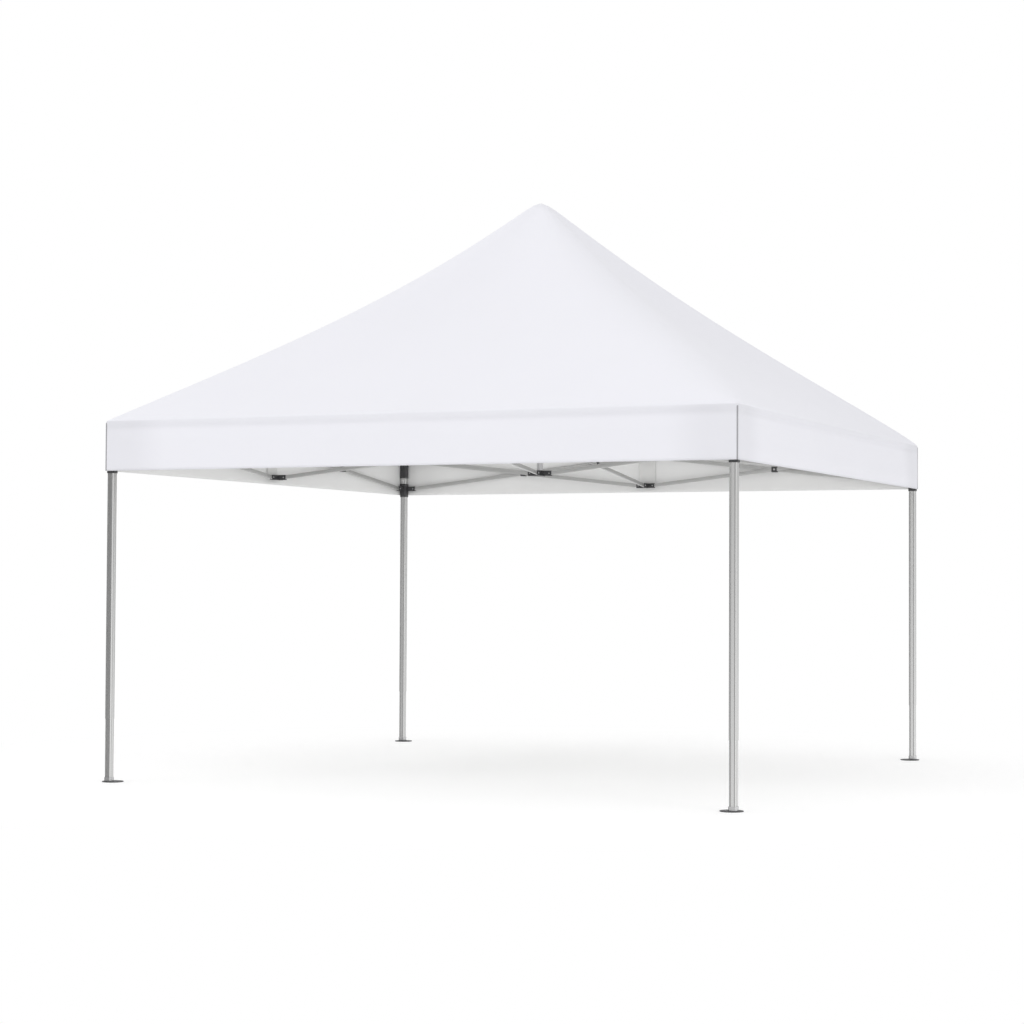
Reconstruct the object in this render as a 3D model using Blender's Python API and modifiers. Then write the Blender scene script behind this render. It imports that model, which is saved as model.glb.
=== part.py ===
"""Folding marquee tent, four metres square.

Four telescoping legs carry a ring of scissor trusses and a cross of inner
trusses that meet under the middle. A mast on the middle joints holds up the
peak of a hipped fabric roof, and a straight valance hangs down on every side.
Metres, +Z up, origin on the ground under the middle of the roof.
"""
import math

import bmesh
import bpy
from mathutils import Matrix, Vector

# Driving sizes of the whole tent
LEG_SPACING = 3.946          # between the centres of two neighbouring legs
VALANCE_BOTTOM = 1.877
EAVE = 2.178                 # top edge of the valance, lower edge of the roof
PEAK = 3.688                 # top of the roof's fabric
FIT_GAP = 0.0003             # between pieces that touch

# Legs: an outer tube with cut corners, and an inner one that slides in it
LEG_WIDTH = 0.044
LEG_CUT = 0.006              # cut off each corner of the profile
LEG_WALL = 0.0015
SLIDE_GAP = 0.0004
OUTER_LEG_BOTTOM = 0.380
OUTER_LEG_TOP = 2.100
INNER_LEG_TOP = 1.700
FOOT_DIAMETER = 0.130
FOOT_THICKNESS = 0.005
FOOT_INSET = 0.016           # the foot's middle lies this far in from the leg, both ways
FOOT_SIDES = 32
BOOT_WALL = 0.0032
BOOT_HEIGHT = 0.024
PEG_HOLE_RADIUS = 0.0055
PEG_HOLE_SIDES = 10
PEG_HOLE_INSET = 0.032       # from the foot's middle towards the tent's, both ways

# Truss: flat bars that cross in pairs, and the joints that hold their ends
BAR_HEIGHT = 0.026
BAR_THICKNESS = 0.013
BAR_OFFSET = 0.0078          # each bar's own plane lies this far from the truss plane
BAR_END = 0.012              # bar past its pin
LOWER_PIN_Z = 1.925
UPPER_PIN_Z = 2.133
PIN_FROM_LEG = 0.075
PIN_FROM_MIDDLE = 0.055
PIN_FROM_HUB = 0.065
CROSS_BLOCK = 0.040          # square block on the pin where two bars cross
CROSS_CAP = 0.003            # the block stands this far out of either bar
JOINT_HEIGHT = 0.034
CHEEK = 0.004                # side wall of a fork
SLOT_START = 0.017           # the slot starts this far before the pin
FORK_END = 0.014             # the fork ends this far past the pin
CORE_HALF = 0.021            # half width of a middle joint's core
COLLAR_WALL = 0.004          # from the leg's face to the collar's, sliding gap and all
CORE_STEP = 0.001            # the forks' square core stays this far inside the collar's faces
SLIDER_BOTTOM = 1.863
SLIDER_TOP = 1.963
CAP_SKIRT_BOTTOM = 2.006
HUB_SOCKET_WALL = 0.005
HUB_FLOOR = 0.004            # under the mast, in the lower hub

# Mast under the peak
MAST_RADIUS = 0.019
MAST_WALL = 0.002
MAST_SIDES = 20
MAST_NECK = 0.120            # the mast ends this far under the peak
HEAD_RADIUS = 0.042
HEAD_RIM_DEPTH = 0.072       # the head's rim ends this far under the peak
HEAD_TAPER = 0.010
HEAD_NECK_RADIUS = 0.024
HEAD_RINGS = 6
HEAD_STEPS = 24

# Fabric
CLOTH = 0.0025
ROOF_DROP = 0.004            # the roof's thickness, measured straight down
CLOTH_CLEARANCE = 0.0003
PEAK_ROUNDING = 0.030
PATCH_HALF = 0.075           # half width of the patch that closes the peak
HIP_DROOP = {(-1, -1): 0.248, (1, -1): 0.215, (1, 1): 0.195, (-1, 1): 0.215}
HIP_SKEW = 1.5               # the hips hang lowest nearer to the peak
PANEL_SAG = 0.030
PANEL_ROWS = 12
PANEL_COLUMNS = 12
PATCH_CELLS = 16
PEAK_GAP = 0.0009            # between the mast head and the fabric over it

# For joining and cutting the solids
MERGE_DISTANCE = 0.00001
JOIN_OVERLAP = 0.002         # solids that become one run this far into each other
CUT_PAST = 0.010             # a cutter runs this far past the face it cuts

# Worked out from the sizes above
LEG_AXIS = LEG_SPACING / 2
LEG_HALF = LEG_WIDTH / 2
COLLAR_HALF = LEG_HALF + COLLAR_WALL
VALANCE_INNER = LEG_AXIS + COLLAR_HALF + CLOTH_CLEARANCE
ROOF_HALF = VALANCE_INNER + CLOTH
PEAK_DROOP = sum(HIP_DROOP.values()) / len(HIP_DROOP)
PEAK_PART = 1.0 - PEAK_ROUNDING / math.hypot(ROOF_HALF, PEAK_ROUNDING)
PEAK_LOSS = PEAK_DROOP * PEAK_PART * (1 - PEAK_PART) * (1 + HIP_SKEW * PEAK_PART)
ROOF_RISE = (PEAK - EAVE + PEAK_LOSS) / PEAK_PART

CORNERS = {"front_left": (-1, -1), "front_right": (1, -1), "back_right": (1, 1), "back_left": (-1, 1)}
# Each side: outward direction, and the direction along it to the right of someone outside
SIDES = {
    "front": (Vector((0, -1, 0)), Vector((1, 0, 0))),
    "right": (Vector((1, 0, 0)), Vector((0, 1, 0))),
    "back": (Vector((0, 1, 0)), Vector((-1, 0, 0))),
    "left": (Vector((-1, 0, 0)), Vector((0, -1, 0))),
}
# Middle joints and hubs: name, height of the pins, and which side of its plane a fork's bar lies on
LEVELS = (("upper", UPPER_PIN_Z, -BAR_OFFSET), ("lower", LOWER_PIN_Z, BAR_OFFSET))

for old_object in list(bpy.data.objects):
    bpy.data.objects.remove(old_object, do_unlink=True)

tent = bpy.data.collections.new("marquee_tent")
cutters = bpy.data.collections.new("cutters")
bpy.context.scene.collection.children.link(tent)
bpy.context.scene.collection.children.link(cutters)


def make_material(name, colour, roughness, metallic):
    material = bpy.data.materials.new(name)
    material.use_nodes = True
    shader = material.node_tree.nodes["Principled BSDF"]
    shader.inputs["Base Color"].default_value = (*colour, 1.0)
    shader.inputs["Roughness"].default_value = roughness
    shader.inputs["Metallic"].default_value = metallic
    return material


leg_metal = make_material("leg_aluminium", (0.56, 0.57, 0.58), 0.36, 0.9)
inner_metal = make_material("inner_leg_aluminium", (0.60, 0.61, 0.62), 0.32, 0.9)
bar_metal = make_material("bar_aluminium", (0.60, 0.60, 0.60), 0.38, 0.9)
joint_plastic = make_material("joint_plastic", (0.03, 0.03, 0.032), 0.5, 0.0)
foot_steel = make_material("foot_steel", (0.08, 0.08, 0.085), 0.5, 0.6)
mast_metal = make_material("mast_aluminium", (0.58, 0.58, 0.59), 0.36, 0.9)
roof_fabric = make_material("roof_fabric", (0.86, 0.86, 0.90), 0.75, 0.0)


def add_object(name, mesh, material, collection=tent):
    """Puts a mesh in the scene as one named object with its own material."""
    new_object = bpy.data.objects.new(name, mesh)
    collection.objects.link(new_object)
    if material:
        mesh.materials.clear()
        mesh.materials.append(material)
    if collection is cutters:
        new_object.hide_render = True
        new_object.display_type = "WIRE"
    return new_object


def flat_prism(name, outlines, bottom, top, material=None, collection=tent):
    """An upright prism: a filled flat outline, with holes, given its height."""
    curve = bpy.data.curves.new(name, "CURVE")
    curve.dimensions = "2D"
    curve.fill_mode = "BOTH"
    curve.extrude = (top - bottom) / 2
    for outline in outlines:
        spline = curve.splines.new("POLY")
        spline.points.add(len(outline) - 1)
        for point, (x, y) in zip(spline.points, outline):
            point.co = (x, y, 0.0, 1.0)
        spline.use_cyclic_u = True
    drawn = bpy.data.objects.new(name + "_outline", curve)
    bpy.context.scene.collection.objects.link(drawn)
    seen = drawn.evaluated_get(bpy.context.evaluated_depsgraph_get())
    mesh = bpy.data.meshes.new_from_object(seen)
    bpy.data.objects.remove(drawn)
    bpy.data.curves.remove(curve)
    shape = bmesh.new()
    shape.from_mesh(mesh)
    bmesh.ops.remove_doubles(shape, verts=shape.verts, dist=MERGE_DISTANCE)
    bmesh.ops.translate(shape, verts=shape.verts, vec=(0, 0, (top + bottom) / 2))
    bmesh.ops.recalc_face_normals(shape, faces=shape.faces)
    shape.to_mesh(mesh)
    shape.free()
    mesh.name = name
    return add_object(name, mesh, material, collection)


def cutter_prism(name, outline, bottom, top):
    """A prism that is joined to a piece or cut out of it."""
    return flat_prism(name, [outline], bottom, top, None, cutters)


def leg_profile(inset, centre=(0, 0)):
    """The outer leg's outline moved inwards by inset, or outwards where it is negative.

    A cut corner gets shorter by a share of the move, which keeps a wall as
    thick at the corners as on the flats.
    """
    x, y = centre
    half = LEG_HALF - inset
    short = half - LEG_CUT + inset * (2 - math.sqrt(2))
    corners = [(half, short), (short, half), (-short, half), (-half, short),
               (-half, -short), (-short, -half), (short, -half), (half, -short)]
    return [(x + a, y + b) for a, b in corners]


def circle(radius, sides, centre=(0, 0)):
    turn = 2 * math.pi / sides
    x, y = centre
    return [(x + radius * math.cos(turn * (i + 0.5)), y + radius * math.sin(turn * (i + 0.5)))
            for i in range(sides)]


def fork_outline(arms, core_half):
    """Plan of a joint: a square core with forked arms.

    arms holds, for the directions +X, +Y, -X and -Y in turn, either None or
    the pin's distance and the sideways offset of the bar that the fork takes.
    """
    slot_half = BAR_THICKNESS / 2 + FIT_GAP
    points = []
    for quarter, arm in enumerate(arms):
        if arm is None:
            stretch = [(core_half, -core_half)]
        else:
            pin, offset = arm
            inner, outer = offset - slot_half, offset + slot_half
            slot, tip = pin - SLOT_START, pin + FORK_END
            stretch = [
                (core_half, -core_half),
                (core_half, inner - CHEEK), (tip, inner - CHEEK), (tip, inner),
                (slot, inner), (slot, outer),
                (tip, outer), (tip, outer + CHEEK), (core_half, outer + CHEEK),
            ]
        turn = Matrix.Rotation(quarter * math.pi / 2, 2)
        points += [tuple(turn @ Vector(point)) for point in stretch]
    return points


def boolean(target, operation, *others):
    """Joins or cuts, and applies it, so that the helper pieces can go."""
    for other in others:
        modifier = target.modifiers.new(operation.lower(), "BOOLEAN")
        modifier.operation = operation
        modifier.solver = "EXACT"
        modifier.object = other
    seen = target.evaluated_get(bpy.context.evaluated_depsgraph_get())
    mesh = bpy.data.meshes.new_from_object(seen)
    old_mesh = target.data
    target.modifiers.clear()
    target.data = mesh
    bpy.data.meshes.remove(old_mesh)
    for other in others:
        bpy.data.objects.remove(other, do_unlink=True)


def move_into_mesh(item, matrix):
    item.data.transform(matrix)
    item.data.update()


def corner_turn(corner):
    """Turns the back right corner's piece, whose arms point to -X and -Y, to a corner."""
    quarters = {(1, 1): 0, (-1, 1): 1, (-1, -1): 2, (1, -1): 3}[corner]
    place = Matrix.Translation((corner[0] * LEG_AXIS, corner[1] * LEG_AXIS, 0))
    return place @ Matrix.Rotation(quarters * math.pi / 2, 4, "Z")


# Outer legs: the tubes that the truss hangs on
for corner_name, corner in CORNERS.items():
    axis_point = (corner[0] * LEG_AXIS, corner[1] * LEG_AXIS)
    flat_prism("outer_leg_" + corner_name, [leg_profile(0, axis_point), leg_profile(LEG_WALL, axis_point)],
               OUTER_LEG_BOTTOM, OUTER_LEG_TOP, leg_metal)

# Inner legs: the tubes that slide in the outer ones and stand in the feet
inner_inset = LEG_WALL + SLIDE_GAP
for corner_name, corner in CORNERS.items():
    axis_point = (corner[0] * LEG_AXIS, corner[1] * LEG_AXIS)
    flat_prism("inner_leg_" + corner_name,
               [leg_profile(inner_inset, axis_point), leg_profile(inner_inset + LEG_WALL, axis_point)],
               FOOT_THICKNESS + FIT_GAP, INNER_LEG_TOP, inner_metal)

# Feet: a round plate with a peg hole, and a boot round the leg's end
boot_inset = inner_inset - FIT_GAP
for corner_name, corner in CORNERS.items():
    axis_point = (corner[0] * LEG_AXIS, corner[1] * LEG_AXIS)
    plate_middle = tuple(sign * (LEG_AXIS - FOOT_INSET) for sign in corner)
    peg_hole = tuple(sign * (LEG_AXIS - FOOT_INSET - PEG_HOLE_INSET) for sign in corner)
    foot = flat_prism("foot_" + corner_name,
                      [circle(FOOT_DIAMETER / 2, FOOT_SIDES, plate_middle),
                       circle(PEG_HOLE_RADIUS, PEG_HOLE_SIDES, peg_hole)],
                      0.0, FOOT_THICKNESS, foot_steel)
    boot = flat_prism("boot_" + corner_name,
                      [leg_profile(boot_inset - BOOT_WALL, axis_point), leg_profile(boot_inset, axis_point)],
                      FOOT_THICKNESS - JOIN_OVERLAP, FOOT_THICKNESS + BOOT_HEIGHT, None, cutters)
    boolean(foot, "UNION", boot)

# Top brackets: a cap on each leg, with a fork for the truss of either side.
# Seen at the back right corner, the -X fork serves the back and the -Y fork the right side.
plus_arm = (PIN_FROM_LEG, BAR_OFFSET)
minus_arm = (PIN_FROM_LEG, -BAR_OFFSET)
fork_core = COLLAR_HALF - CORE_STEP
fork_bottom = UPPER_PIN_Z - JOINT_HEIGHT / 2
for corner_name, corner in CORNERS.items():
    plan = fork_outline([None, None, plus_arm, minus_arm], fork_core)
    cap = flat_prism("top_bracket_" + corner_name, [plan],
                     fork_bottom, fork_bottom + JOINT_HEIGHT, joint_plastic)
    skirt = cutter_prism("skirt", leg_profile(-COLLAR_WALL), CAP_SKIRT_BOTTOM, fork_bottom + JOIN_OVERLAP)
    boolean(cap, "UNION", skirt)
    socket = cutter_prism("socket", leg_profile(-SLIDE_GAP),
                          CAP_SKIRT_BOTTOM - CUT_PAST, OUTER_LEG_TOP + FIT_GAP)
    boolean(cap, "DIFFERENCE", socket)
    move_into_mesh(cap, corner_turn(corner))

# Sliders: the collars that run on the legs and hold the trusses' lower ends
fork_bottom = LOWER_PIN_Z - JOINT_HEIGHT / 2
for corner_name, corner in CORNERS.items():
    plan = fork_outline([None, None, minus_arm, plus_arm], fork_core)
    slider = flat_prism("slider_" + corner_name, [plan],
                        fork_bottom, fork_bottom + JOINT_HEIGHT, joint_plastic)
    collar = cutter_prism("collar", leg_profile(-COLLAR_WALL), SLIDER_BOTTOM, SLIDER_TOP)
    boolean(slider, "UNION", collar)
    way = cutter_prism("way", leg_profile(-SLIDE_GAP), SLIDER_BOTTOM - CUT_PAST, SLIDER_TOP + CUT_PAST)
    boolean(slider, "DIFFERENCE", way)
    move_into_mesh(slider, corner_turn(corner))

# Middle joints: where two side trusses meet the inner truss, top and bottom.
# Drawn for the back side: the +X and -X forks lie along the eave, the -Y fork points inwards.
for quarters, side_name in enumerate(("back", "left", "front", "right")):
    outward, _ = SIDES[side_name]
    place = Matrix.Translation(outward * LEG_AXIS) @ Matrix.Rotation(quarters * math.pi / 2, 4, "Z")
    for level, height, offset in LEVELS:
        arms = [(PIN_FROM_MIDDLE, -offset), None, (PIN_FROM_MIDDLE, offset), (PIN_FROM_HUB, offset)]
        joint = flat_prism("%s_joint_%s" % (level, side_name), [fork_outline(arms, CORE_HALF)],
                           height - JOINT_HEIGHT / 2, height + JOINT_HEIGHT / 2, joint_plastic)
        move_into_mesh(joint, place)

# Hubs: the two joints on the mast that the four inner trusses meet in.
# The mast runs right through the upper one and stands on the lower one's floor.
for level, height, offset in LEVELS:
    hub_bottom = height - JOINT_HEIGHT / 2
    hub_plan = fork_outline([(PIN_FROM_HUB, offset)] * 4, MAST_RADIUS + HUB_SOCKET_WALL)
    hub = flat_prism(level + "_hub", [hub_plan], hub_bottom, hub_bottom + JOINT_HEIGHT, joint_plastic)
    socket_floor = hub_bottom + (HUB_FLOOR if level == "lower" else -CUT_PAST)
    socket = cutter_prism("mast_socket", circle(MAST_RADIUS + SLIDE_GAP, MAST_SIDES), socket_floor,
                          hub_bottom + JOINT_HEIGHT + CUT_PAST)
    boolean(hub, "DIFFERENCE", socket)


def crossed_bars(name, start, direction, span, rising_side):
    """Two bars that cross on one pin, as one piece.

    start is the truss plane's point over the first pins, direction runs along
    the truss, and rising_side is the side that the bar rising along it lies on.
    """
    rise = UPPER_PIN_Z - LOWER_PIN_Z
    slope = math.atan2(rise, span)
    middle = start + direction * (span / 2) + Vector((0, 0, (UPPER_PIN_Z + LOWER_PIN_Z) / 2))
    heading = math.atan2(direction.y, direction.x)
    truss_place = Matrix.Translation(middle) @ Matrix.Rotation(heading, 4, "Z")
    bar_size = (math.hypot(span, rise) + 2 * BAR_END, BAR_THICKNESS, BAR_HEIGHT)
    block_size = (CROSS_BLOCK, 2 * (BAR_OFFSET + CROSS_CAP) + BAR_THICKNESS, CROSS_BLOCK)

    def block(size, offset, tilt):
        shape = bmesh.new()
        bmesh.ops.create_cube(shape, size=1.0)
        bmesh.ops.scale(shape, vec=size, verts=shape.verts)
        mesh = bpy.data.meshes.new(name)
        shape.to_mesh(mesh)
        shape.free()
        mesh.transform(truss_place @ Matrix.Translation((0, offset, 0)) @ Matrix.Rotation(tilt, 4, "Y"))
        return mesh

    offset = rising_side * BAR_OFFSET
    rising = add_object(name, block(bar_size, offset, -slope), bar_metal)
    falling = add_object("falling_bar", block(bar_size, -offset, slope), None, cutters)
    pin_block = add_object("pin_block", block(block_size, 0, 0), None, cutters)
    boolean(rising, "UNION", falling, pin_block)


# Side trusses: two pairs of crossed bars on every side.
# The bar that rises from the slider to the middle lies on the outer side.
side_span = LEG_AXIS - PIN_FROM_LEG - PIN_FROM_MIDDLE
for side_name, (outward, along) in SIDES.items():
    for half_name, sign in (("right", 1), ("left", -1)):
        start = outward * LEG_AXIS + along * sign * (LEG_AXIS - PIN_FROM_LEG)
        crossed_bars("side_truss_%s_%s" % (side_name, half_name), start, along * -sign, side_span, sign)

# Inner trusses: one pair of crossed bars from each side's middle to the hubs
inner_span = LEG_AXIS - 2 * PIN_FROM_HUB
for side_name, (outward, _) in SIDES.items():
    start = outward * (LEG_AXIS - PIN_FROM_HUB)
    crossed_bars("inner_truss_" + side_name, start, -outward, inner_span, 1)


def roof_part(x, y):
    """How far a point of the plan is up the roof: 0 at the eaves, nearly 1 at the peak."""
    reach = math.hypot(max(abs(x), abs(y)), PEAK_ROUNDING)
    return 1.0 - reach / math.hypot(ROOF_HALF, PEAK_ROUNDING)


def roof_height(x, y):
    """Height of the fabric's upper face over a point of the plan.

    The fabric droops by an amount of its own towards every corner, and each
    panel sags a little more between the hips.
    """
    part = roof_part(x, y)
    reach = math.hypot(max(abs(x), abs(y)), PEAK_ROUNDING)
    across, up = x / reach, y / reach
    droop = sum(size * (1 + sx * across) * (1 + sy * up) / 4 for (sx, sy), size in HIP_DROOP.items())
    sag = PANEL_SAG * 4 * part * (1 - part) * abs(across ** 2 - up ** 2)
    return EAVE + ROOF_RISE * part - droop * part * (1 - part) * (1 + HIP_SKEW * part) - sag


def cloth_piece(name, columns, rows, plan_point):
    """A piece of the roof's fabric: a grid laid on the roof and given its thickness."""
    shape = bmesh.new()
    bmesh.ops.create_grid(shape, x_segments=columns, y_segments=rows, size=1.0)
    for vertex in shape.verts:
        x, y = plan_point(vertex.co.x, vertex.co.y)
        vertex.co = (x, y, roof_height(x, y))
    extruded = bmesh.ops.extrude_face_region(shape, geom=list(shape.faces))
    lower = [item for item in extruded["geom"] if isinstance(item, bmesh.types.BMVert)]
    bmesh.ops.translate(shape, verts=lower, vec=(0, 0, -ROOF_DROP))
    bmesh.ops.triangulate(shape, faces=shape.faces)
    bmesh.ops.recalc_face_normals(shape, faces=shape.faces)
    mesh = bpy.data.meshes.new(name)
    shape.to_mesh(mesh)
    shape.free()
    add_object(name, mesh, roof_fabric)


# Roof: four panels between the hips, and the patch that closes the peak
for side_name, (outward, along) in SIDES.items():
    def panel_point(across, up, outward=outward, along=along):
        reach = PATCH_HALF + (ROOF_HALF - PATCH_HALF) * (1 - up) / 2
        place = outward * reach + along * across * (reach - FIT_GAP)
        return place.x, place.y
    cloth_piece("roof_panel_" + side_name, PANEL_COLUMNS, PANEL_ROWS, panel_point)

patch_reach = PATCH_HALF - FIT_GAP
cloth_piece("peak_patch", PATCH_CELLS, PATCH_CELLS, lambda x, y: (x * patch_reach, y * patch_reach))

# Valances: front and back run the full width, the other two stand between them
for side_name, (outward, along) in SIDES.items():
    half_length = ROOF_HALF if outward.y else VALANCE_INNER - FIT_GAP
    middle = outward * (VALANCE_INNER + CLOTH / 2)
    half_x = half_length if along.x else CLOTH / 2
    half_y = half_length if along.y else CLOTH / 2
    ends = ((1, 1), (-1, 1), (-1, -1), (1, -1))
    outline = [(middle.x + a * half_x, middle.y + b * half_y) for a, b in ends]
    flat_prism("valance_" + side_name, [outline], VALANCE_BOTTOM, EAVE - ROOF_DROP - FIT_GAP, roof_fabric)

# Mast: a tube that stands in the lower hub and runs up through the upper one
mast_bottom = LOWER_PIN_Z - JOINT_HEIGHT / 2 + HUB_FLOOR + FIT_GAP
mast_top = PEAK - MAST_NECK
flat_prism("mast", [circle(MAST_RADIUS, MAST_SIDES), circle(MAST_RADIUS - MAST_WALL, MAST_SIDES)],
           mast_bottom, mast_top, mast_metal)


def head_height(radius):
    """Height of the mast head under the lowest fabric at a distance from its middle."""
    lowest = min(roof_height(radius * x, radius * y) for x, y in ((1, 0), (0, 1), (-1, 0), (0, -1)))
    return lowest - ROOF_DROP - PEAK_GAP


# Mast head: a turned plastic dome that the peak of the fabric rests on
ring_step = HEAD_RADIUS / HEAD_RINGS
head_profile = [(ring_step * ring, head_height(ring_step * ring)) for ring in range(HEAD_RINGS + 1)]
head_profile += [(HEAD_RADIUS, PEAK - HEAD_RIM_DEPTH),
                 (HEAD_NECK_RADIUS, PEAK - HEAD_RIM_DEPTH - HEAD_TAPER),
                 (HEAD_NECK_RADIUS, mast_top + FIT_GAP),
                 (0.0, mast_top + FIT_GAP)]
head_mesh = bpy.data.meshes.new("mast_head")
head_mesh.from_pydata([(radius, 0, height) for radius, height in head_profile],
                      [(i, i + 1) for i in range(len(head_profile) - 1)], [])
mast_head = add_object("mast_head", head_mesh, joint_plastic)
turning = mast_head.modifiers.new("turning", "SCREW")
turning.steps = HEAD_STEPS
turning.render_steps = HEAD_STEPS
turning.use_merge_vertices = True
turning.merge_threshold = MERGE_DISTANCE
turning.use_smooth_shade = True
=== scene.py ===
"""The looks of a folding marquee tent, four metres square, on a pale studio floor."""
import math

import bmesh
import bpy
from mathutils import Matrix, Vector, noise


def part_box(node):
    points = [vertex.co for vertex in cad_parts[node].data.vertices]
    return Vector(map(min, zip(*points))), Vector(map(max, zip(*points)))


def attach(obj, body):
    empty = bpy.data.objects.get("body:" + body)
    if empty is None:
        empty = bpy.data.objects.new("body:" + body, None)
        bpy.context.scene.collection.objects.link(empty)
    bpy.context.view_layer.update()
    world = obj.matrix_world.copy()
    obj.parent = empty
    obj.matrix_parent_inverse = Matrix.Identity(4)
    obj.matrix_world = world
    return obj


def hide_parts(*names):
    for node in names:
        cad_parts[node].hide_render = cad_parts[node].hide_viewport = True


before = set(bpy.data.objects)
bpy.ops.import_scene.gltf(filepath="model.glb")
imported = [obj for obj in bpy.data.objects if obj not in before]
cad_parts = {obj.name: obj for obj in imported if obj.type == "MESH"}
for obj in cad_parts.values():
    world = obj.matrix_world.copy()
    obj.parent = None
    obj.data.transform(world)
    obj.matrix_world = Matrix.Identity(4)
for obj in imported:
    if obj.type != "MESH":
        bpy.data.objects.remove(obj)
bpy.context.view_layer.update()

# Camera. It stands a little under eye height in front of the tent's right
# half, and its long lens looks slightly up, as the photograph was taken.
CAMERA_PLACE = (5.758, -13.474, 1.2183)
CAMERA_TURN = math.radians(23.845)
CAMERA_TILT = math.radians(91.774)
CAMERA_ROLL = math.radians(0.296)
CAMERA_LENS = 79.28
SENSOR_WIDTH = 36.0
camera_data = bpy.data.cameras.new("camera")
camera_data.lens = CAMERA_LENS
camera_data.sensor_width = SENSOR_WIDTH
camera = bpy.data.objects.new("camera", camera_data)
bpy.context.scene.collection.objects.link(camera)
camera.matrix_world = (Matrix.Translation(CAMERA_PLACE) @ Matrix.Rotation(CAMERA_TURN, 4, "Z")
                       @ Matrix.Rotation(CAMERA_TILT, 4, "X") @ Matrix.Rotation(CAMERA_ROLL, 4, "Z"))
bpy.context.scene.camera = camera

# Studio. A white floor, clear from below, that fades into a white room with soft
# light from all round and two high lamps in front. Metal reflects a pale ground, a
# window at the right and a dark flag all along the left, as a photographer sets up.
WHITE = (1.0, 1.0, 1.0, 1.0)
FLOOR_RADIUS = 120.0
FLOOR_SEGMENTS = 96
FLOOR_COLOUR = (0.93, 0.93, 0.93, 1.0)
FLOOR_ROUGHNESS = 0.9
FLOOR_SHINE = 0.1
FLOOR_SHADE_ENDS = 2.1
FLOOR_WHITE_STARTS = 4.4
FLOOR_GLOW = 0.15
ROOM_LIGHT = 0.68
TOP_LIGHT = 0.25
LEFT_LIGHT = 0.5
BACK_LIGHT = 0.2
GLOW_FALLOFF = 2.0
LAMP_POWER = {"right_lamp": 140.0, "left_lamp": 150.0}
LAMP_PLACE = {"right_lamp": Vector((9.0, -6.0, 8.0)), "left_lamp": Vector((-7.0, -9.0, 9.0))}
LAMP_SIZE = 3.0
LAMP_AIM = Vector((0.0, 0.0, 2.0))
METAL_WALL_LIGHT = 0.62
METAL_WINDOW_LIGHT = 0.15
METAL_WINDOW_TOWARDS = Vector((0.90, -0.44, 0.0))
METAL_GROUND_LIGHT = 0.50
METAL_GROUND_FROM = 0.10
METAL_GROUND_FULL = -0.12
FLAG_TOWARDS = Vector((-0.985, -0.17, 0.0))
FLAG_EDGE = math.cos(math.radians(62))
FLAG_CORE = math.cos(math.radians(45))
FLAG_DARKNESS = 0.80


def shader_math(tree, operation, *terms):
    """Adds one sum to a node tree: each term is a number or another node's output."""
    node = tree.nodes.new("ShaderNodeMath")
    node.operation = operation
    for socket, term in zip(node.inputs, terms):
        if isinstance(term, (int, float)):
            socket.default_value = term
        else:
            tree.links.new(term, socket)
    return node.outputs[0]


def soft_step(tree, value, start, end):
    """Rises smoothly from 0 where the value is start to 1 where it is end."""
    node = tree.nodes.new("ShaderNodeMapRange")
    node.interpolation_type = "SMOOTHSTEP"
    node.inputs["From Min"].default_value = start
    node.inputs["From Max"].default_value = end
    tree.links.new(value, node.inputs["Value"])
    return node.outputs["Result"]


floor_shape = bmesh.new()
bmesh.ops.create_circle(floor_shape, cap_ends=True, segments=FLOOR_SEGMENTS, radius=FLOOR_RADIUS)
floor_mesh = bpy.data.meshes.new("floor")
floor_shape.to_mesh(floor_mesh)
floor_shape.free()
floor_paint = bpy.data.materials.new("floor_paint")
floor_paint.use_nodes = True
floor_tree = floor_paint.node_tree
floor_shader = floor_tree.nodes["Principled BSDF"]
floor_shader.inputs["Base Color"].default_value = FLOOR_COLOUR
floor_shader.inputs["Roughness"].default_value = FLOOR_ROUGHNESS
floor_shader.inputs["Specular IOR Level"].default_value = FLOOR_SHINE
floor_shader.inputs["Emission Color"].default_value = WHITE
floor_shader.inputs["Emission Strength"].default_value = FLOOR_GLOW
floor_place = floor_tree.nodes.new("ShaderNodeTexCoord")
floor_reach = floor_tree.nodes.new("ShaderNodeVectorMath")
floor_reach.operation = "LENGTH"
floor_tree.links.new(floor_place.outputs["Object"], floor_reach.inputs[0])
room_white = floor_tree.nodes.new("ShaderNodeEmission")
floor_fade = floor_tree.nodes.new("ShaderNodeMixShader")
floor_whiteness = soft_step(floor_tree, floor_reach.outputs["Value"], FLOOR_SHADE_ENDS, FLOOR_WHITE_STARTS)
floor_tree.links.new(floor_whiteness, floor_fade.inputs["Fac"])
floor_tree.links.new(floor_shader.outputs["BSDF"], floor_fade.inputs[1])
floor_tree.links.new(room_white.outputs["Emission"], floor_fade.inputs[2])
underside = floor_tree.nodes.new("ShaderNodeNewGeometry")
clear_from_below = floor_tree.nodes.new("ShaderNodeBsdfTransparent")
floor_sides = floor_tree.nodes.new("ShaderNodeMixShader")
floor_tree.links.new(underside.outputs["Backfacing"], floor_sides.inputs["Fac"])
floor_tree.links.new(floor_fade.outputs["Shader"], floor_sides.inputs[1])
floor_tree.links.new(clear_from_below.outputs["BSDF"], floor_sides.inputs[2])
floor_tree.links.new(floor_sides.outputs["Shader"], floor_tree.nodes["Material Output"].inputs["Surface"])
floor_mesh.materials.append(floor_paint)
floor = bpy.data.objects.new("floor", floor_mesh)
bpy.context.scene.collection.objects.link(floor)
floor.visible_glossy = False

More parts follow.
